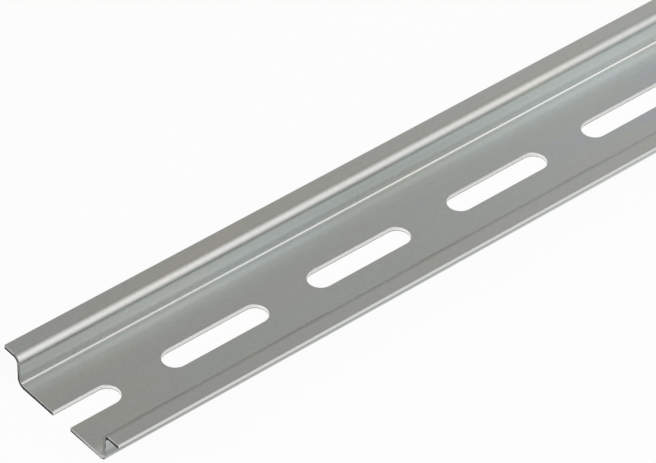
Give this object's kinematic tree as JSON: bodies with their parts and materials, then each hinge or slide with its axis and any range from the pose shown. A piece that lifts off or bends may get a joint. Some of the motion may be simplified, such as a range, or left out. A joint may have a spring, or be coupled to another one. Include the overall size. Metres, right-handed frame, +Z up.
{
  "type": "slotted din rail",
  "caption": "Slotted top-hat mounting rail: a shallow channel of zinc-plated steel strip with flat lips along both edges and a row of long fixing slots in its base.",
  "frame": {"origin": "middle of the length and width, on the underside that lies on the mounting plate", "axes": "+X along the rail, away from the end that is cut through the middle of a slot; +Y across it; +Z up, out of the open channel"},
  "size_m": [0.5, 0.035, 0.0075],
  "materials": {
    "zinc_plated_steel": "satin"
  },
  "bodies": {
    "root": {"rail": "zinc_plated_steel"}
  },
  "joints": []
}
